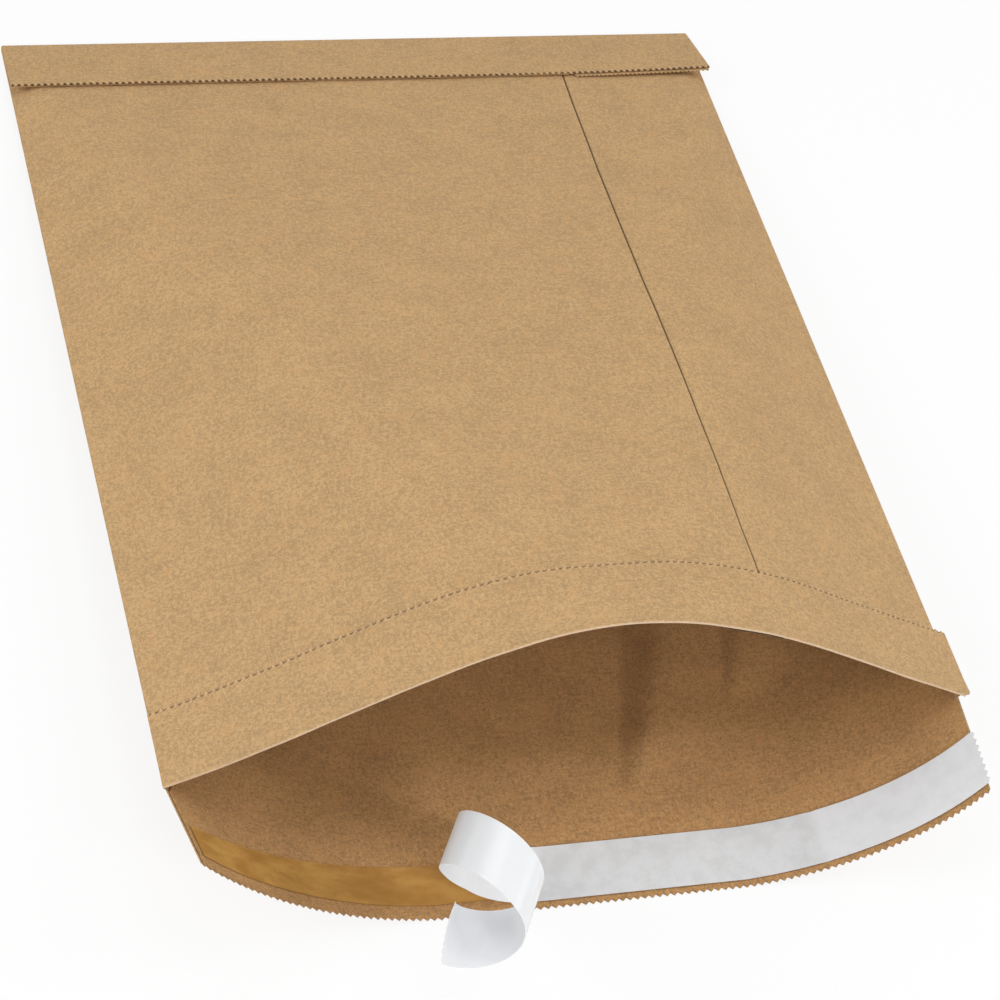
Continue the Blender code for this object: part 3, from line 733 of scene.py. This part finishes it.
def adhesive(material):
    """Band of pressure-sensitive adhesive along the flap, on the lining's face."""
    columns = spaced(ADHESIVE_INSET, FLAT_WIDTH - ADHESIVE_INSET, COLUMN / 2)
    rows = LINER_MIDDLE + spaced(-ADHESIVE_WIDTH / 2, ADHESIVE_WIDTH / 2, COLUMN / 2)[:, None]
    sheet = Sheet()
    sheet.grid(back(columns, rows, FLAP_STACK))
    piece = sheet.finish("adhesive_band", "adhesive_strip", [material], ADHESIVE)


def roll_path():
    """Section of the peeled liner: distance along it, and its run and height, from a curvature that
    goes straight from one named radius to the next."""
    run = np.linspace(0, PEEL_LENGTH + LINER_WIDTH, SAMPLES)
    at, radii = np.array(PEEL_RADII).T
    step = run[1]
    heading = np.cumsum(np.interp(run, at, 1 / radii)) * step
    return run, np.cumsum(np.cos(heading)) * step, np.cumsum(np.sin(heading)) * step


def liner_point(length, across):
    """Point of the release liner. Up to the peel line it lies on the adhesive; past it, the flat
    strip is rolled on a section whose straight lines run askew across the strip, and rise a little
    towards its near side."""
    depth = FLAP_STACK + ADHESIVE + GAP
    crumple = WRINKLE_HEIGHT * np.exp(-((PEEL_FROM_LEFT - length - WRINKLE_AT) / WRINKLE_WIDTH) ** 2)
    origin = back(PEEL_FROM_LEFT, LINER_MIDDLE, depth)
    leftward = unit(back(PEEL_FROM_LEFT - STEP, LINER_MIDDLE, depth) - origin)
    outward = unit(back(PEEL_FROM_LEFT, LINER_MIDDLE + STEP, depth) - origin)
    above = np.cross(leftward, outward)
    axis = math.cos(PEEL_SKEW) * outward + math.sin(PEEL_SKEW) * leftward
    ahead = math.cos(PEEL_SKEW) * leftward - math.sin(PEEL_SKEW) * outward
    rolled = length * math.cos(PEEL_SKEW) - across * math.sin(PEEL_SKEW)
    drift = length * math.sin(PEEL_SKEW) + across * math.cos(PEEL_SKEW)
    run, forward, height = roll_path()
    rise = np.interp(rolled, run, height) + PEEL_TILT * drift * np.clip(rolled / PEEL_EASE, 0, 1)
    free = origin + np.interp(rolled, run, forward)[..., None] * ahead
    free += rise[..., None] * above + drift[..., None] * axis
    stuck = back(PEEL_FROM_LEFT - length, LINER_MIDDLE + across, depth - crumple)
    return np.where((rolled > 0)[..., None], free, stuck)


def release_liner(face, release_face):
    """Siliconised paper strip, stuck along the right of the flap and peeled back from the left."""
    start = PEEL_FROM_LEFT - FLAT_WIDTH - LINER_OVERHANG
    teeth = round(LINER_WIDTH / TOOTH_PITCH)
    across = np.linspace(-LINER_WIDTH / 2, LINER_WIDTH / 2, teeth + 1)
    lengths = spaced(start + TOOTH_DEPTH, PEEL_LENGTH - TOOTH_DEPTH, LINER_ROW)[:, None]
    to_ends = np.minimum(lengths - lengths[0], lengths[-1] - lengths) / LINER_WIDTH
    skew = np.clip(to_ends, 0, 1) * np.clip(lengths / LINER_WIDTH + 1, 0, 1)
    sheet = Sheet()
    points = liner_point(lengths + across * math.tan(PEEL_SKEW) * skew, across)
    from_wrinkle = PEEL_FROM_LEFT - lengths - WRINKLE_AT
    past_wrinkle = smooth(from_wrinkle, -WRINKLE_FADE, WRINKLE_FADE)
    sheet.grid(points, LOOSE * smooth(lengths, *LOOSE_FROM) + PAST_WRINKLE * past_wrinkle)
    sheet.teeth(points[0], liner_point(np.full(teeth + 1, start), across), PAST_WRINKLE)
    sheet.teeth(points[-1], liner_point(np.full(teeth + 1, PEEL_LENGTH), across), LOOSE)
    piece = sheet.finish("peeled_liner", "release_liner", [face, release_face], LINER)


class Shade:
    """Socket of a material's nodes. Arithmetic on it adds Math nodes."""

    def __init__(self, tree, socket):
        self.tree = tree
        self.socket = socket

    def node(self, kind, settings, sockets, output=0):
        """Add a node of a kind, with its settings first and then its sockets' values or links."""
        made = self.tree.nodes.new("ShaderNode" + kind)
        stops = settings.pop("stops", None)
        for name, value in settings.items():
            setattr(made, name, value)
        if stops:
            ramp = made.color_ramp
            while len(ramp.elements) < len(stops):
                ramp.elements.new(0.5)
            for element, (position, colour) in zip(ramp.elements, stops):
                element.position = position
                element.color = (*colour, 1.0)
        for name, value in sockets.items():
            if isinstance(value, Shade):
                self.tree.links.new(value.socket, made.inputs[name])
            else:
                made.inputs[name].default_value = value
        return Shade(self.tree, made.outputs[output])

    def math(self, operation, *values, clamp=False):
        """Math node on the values."""
        return self.node("Math", {"operation": operation, "use_clamp": clamp}, dict(enumerate(values)))

    def __add__(self, other):
        return self.math("ADD", self, other)

    __radd__ = __add__

    def __sub__(self, other):
        return self.math("SUBTRACT", self, other)

    def __rsub__(self, other):
        return self.math("SUBTRACT", other, self)

    def __mul__(self, other):
        return self.math("MULTIPLY", self, other)

    __rmul__ = __mul__

    def held(self):
        """The value held between 0 and 1."""
        return self.math("ADD", self, 0.0, clamp=True)

    def step(self, start, end):
        """Smooth step of the value from 0 at the start to 1 at the end."""
        sockets = {"Value": self, "From Min": start, "From Max": end}
        return self.node("MapRange", {"interpolation_type": "SMOOTHSTEP"}, sockets)

    def noise(self, scale, detail=2.0, rough=0.5, stretch=(1.0, 1.0, 1.0), turn=0.0):
        """Noise of a scale per metre on these coordinates, stretched and turned about Z."""
        where = self.node("Mapping", {}, {"Vector": self, "Rotation": (0.0, 0.0, turn), "Scale": stretch})
        sockets = {"Vector": where, "Scale": scale, "Detail": detail, "Roughness": rough}
        return self.node("TexNoise", {}, sockets)

    def bump(self, strength, distance):
        """Normal of a relief that follows the value, at a strength and a distance in metres."""
        return self.node("Bump", {}, {"Strength": strength, "Distance": distance, "Height": self})

    def blend(self, factor, first, second):
        """Colour that goes from the first to the second with the factor."""
        colours = [(*c, 1.0) if isinstance(c, tuple) else c for c in (first, second)]
        sockets = {0: factor, 6: colours[0], 7: colours[1]}
        return self.node("Mix", {"data_type": "RGBA"}, sockets, output=2)


def new_material(name):
    """Material, its Principled shader and its object coordinates."""
    made = bpy.data.materials.new(name)
    made.use_nodes = True
    tree = made.node_tree
    shader = tree.nodes["Principled BSDF"]
    where = Shade(tree, tree.nodes.new("ShaderNodeTexCoord").outputs["Object"])
    return made, shader, where


def feed(shader, **sockets):
    """Set a shader's sockets to values or links, with spaces for underscores in their names."""
    for name, value in sockets.items():
        socket = shader.inputs[name.replace("_", " ")]
        if isinstance(value, Shade):
            value.tree.links.new(value.socket, socket)
        else:
            socket.default_value = value


def kraft(name, pale, deep, warm, wear_and_painted_light, painted_shadow, contrast):
    """Unbleached kraft paper: short fibres of two tones in all directions, cloudy patches, warm flecks,
    pale fuzz where the paper is folded (on the lip partly a painted highlight), and painted shadow in its
    cracks, notches and folds."""
    made, shader, where = new_material(name)
    grain = where.noise(1600, detail=2, rough=0.7)
    mottle = where.noise(700, detail=2)
    long_fibre = where.noise(520, detail=2, stretch=(0.35, 1.6, 1.0), turn=0.5)
    cross_fibre = where.noise(560, detail=2, stretch=(1.7, 0.4, 1.0), turn=-0.3)
    cloud = where.noise(42, detail=4, rough=0.6)
    patch = where.noise(150, detail=2)
    tone = 0.5 + 1.2 * contrast * (grain - 0.5) + 0.75 * contrast * (mottle - 0.5)
    tone = tone + 0.3 * contrast * (long_fibre + cross_fibre - 1.0) + 0.3 * contrast * (cloud - 0.5)
    colour = where.blend(tone.held(), deep, pale)
    colour = where.blend(patch.step(0.52, 0.72) * 0.35, colour, warm)
    # Positive attribute values blend in pale worn paper, on the lip partly a painted highlight; negative
    # values blend in painted shadow.
    wear_and_painted_light_value = where.node("Attribute", {"attribute_name": "wear_and_painted_light"}, {}, output=2)
    colour = where.blend((wear_and_painted_light_value * 0.55).held(), colour, wear_and_painted_light)
    colour = where.blend((wear_and_painted_light_value * -1.0).step(0.0, 0.75) * 0.85, colour, painted_shadow)
    relief = grain * 0.6 + mottle * 0.4
    normal = relief.bump(0.18, 0.0004)
    feed(shader, Base_Color=colour, Roughness=0.82, Specular_IOR_Level=0.25, Normal=normal)
    return made


def fibre():
    """Grey-brown loose paper fibre."""
    made, shader, where = new_material("loose_paper_fibre")
    tuft = where.noise(260, detail=5, rough=0.7)
    colour = where.blend(tuft, (0.30, 0.265, 0.22), (0.54, 0.50, 0.44))
    feed(shader, Base_Color=colour, Roughness=0.95, Normal=tuft.bump(0.6, 0.001))
    return made


def glue():
    """Amber adhesive film, mottled where it lies thicker, with a soft gloss."""
    made, shader, where = new_material("amber_adhesive")
    mottle = where.noise(95, detail=4, rough=0.6, stretch=(0.6, 1.4, 1.0))
    speck = where.noise(1100, detail=2)
    colour = where.blend(mottle.step(0.32, 0.70), (0.42, 0.205, 0.046), (0.57, 0.31, 0.08))
    colour = where.blend(speck.step(0.55, 0.75) * 0.3, colour, (0.34, 0.17, 0.05))
    gloss = 0.34 + 0.2 * mottle
    relief = mottle + 0.3 * speck
    feed(shader, Base_Color=colour, Roughness=gloss, Normal=relief.bump(0.15, 0.0004))
    return made


def liner_paper(name, free, stuck, grey, roughness, mottling):
    """White siliconised paper. Where it is stuck down it looks greyer, and the adhesive behind it
    mottles it."""
    made, shader, where = new_material(name)
    mottle = where.noise(130, detail=5, rough=0.65)
    fine = where.noise(900, detail=2)
    loose = where.node("Attribute", {"attribute_name": "wear_and_painted_light"}, {}, output=2)
    share = (mottle.step(0.38, 0.66) * 0.8 + 0.3 * (fine - 0.5)) * mottling * (1.25 - loose)
    colour = where.blend(share, where.blend(loose, stuck, free), grey)
    feed(shader, Base_Color=colour, Roughness=roughness, Normal=mottle.bump(0.06, 0.0003))
    return made


KRAFT = kraft(
    "kraft_paper", pale=(0.609, 0.390, 0.188), deep=(0.427, 0.274, 0.132), warm=(0.62, 0.36, 0.155),
    wear_and_painted_light=(0.86, 0.68, 0.52), painted_shadow=(0.07, 0.04, 0.02), contrast=3.1,
)
LINING_KRAFT = kraft(
    "lining_paper", pale=(0.58, 0.325, 0.134), deep=(0.32, 0.182, 0.076), warm=(0.54, 0.28, 0.108),
    wear_and_painted_light=(0.66, 0.47, 0.30), painted_shadow=(0.15, 0.062, 0.02), contrast=2.0,
)
LINER_FACE = liner_paper(
    "liner_face", free=(0.82, 0.83, 0.85), stuck=(0.72, 0.73, 0.74), grey=(0.58, 0.59, 0.59),
    roughness=0.45, mottling=0.5,
)
LINER_RELEASE = liner_paper(
    "liner_release_face", free=(0.84, 0.85, 0.86), stuck=(0.80, 0.80, 0.80), grey=(0.72, 0.72, 0.73),
    roughness=0.22, mottling=0.4,
)

wrapper(KRAFT)
lining(LINING_KRAFT)
padding(fibre())
adhesive(glue())
release_liner(LINER_RELEASE, LINER_FACE)


def table():
    """White table top under the mailer. Camera rays see most of it as plain white, so that only
    a soft share of the mailer's shadow shows."""
    half = TABLE_WIDTH / 2
    corners = [(-half, -half, 0), (half, -half, 0), (half, half, 0), (-half, half, 0)]
    mesh = bpy.data.meshes.new("table")
    mesh.from_pydata(corners, [], [(0, 1, 2, 3)])
    made, shader, where = new_material("white_table")
    feed(shader, Base_Color=(0.9, 0.9, 0.9, 1.0), Roughness=0.9)
    rays = where.node("LightPath", {}, {})
    white = where.node("Emission", {}, {"Color": (1.0, 1.0, 1.0, 1.0), "Strength": 1.0})
    surface = Shade(made.node_tree, shader.outputs["BSDF"])
    mixed = where.node("MixShader", {}, {0: rays * TABLE_WHITE, 1: surface, 2: white})
    made.node_tree.links.new(mixed.socket, made.node_tree.nodes["Material Output"].inputs["Surface"])
    mesh.materials.append(made)
    obj = bpy.data.objects.new("table", mesh)
    bpy.context.scene.collection.objects.link(obj)


def room_light():
    """Even white light from all around."""
    world = bpy.data.worlds.new("studio")
    world.use_nodes = True
    back_light = world.node_tree.nodes["Background"]
    back_light.inputs["Color"].default_value = (1.0, 1.0, 1.0, 1.0)
    back_light.inputs["Strength"].default_value = ROOM_STRENGTH
    bpy.context.scene.world = world


def soft_lamp(name, place, size, power):
    """Square soft lamp that faces the middle of the mailer."""
    light = bpy.data.lights.new(name, "AREA")
    light.size = size
    light.energy = power
    obj = bpy.data.objects.new(name, light)
    obj.location = place
    obj.rotation_euler = Vector(place).to_track_quat("Z", "Y").to_euler()
    bpy.context.scene.collection.objects.link(obj)


def camera():
    """Camera at the photo's place, from its right, up and view directions."""
    above = CAMERA_RIGHT.cross(CAMERA_VIEW).normalized()
    turn = Matrix((CAMERA_RIGHT, above, -CAMERA_VIEW)).transposed()
    lens = bpy.data.cameras.new("camera")
    lens.lens = CAMERA_LENS
    lens.clip_start = 0.01
    obj = bpy.data.objects.new("camera", lens)
    obj.matrix_world = Matrix.Translation(FOOT_LINE + CAMERA_FROM_FOOT) @ turn.to_4x4()
    bpy.context.scene.collection.objects.link(obj)
    bpy.context.scene.camera = obj


table()
room_light()
for lamp in LAMPS:
    soft_lamp(*lamp)
camera()
bpy.context.scene.view_settings.view_transform = "Standard"
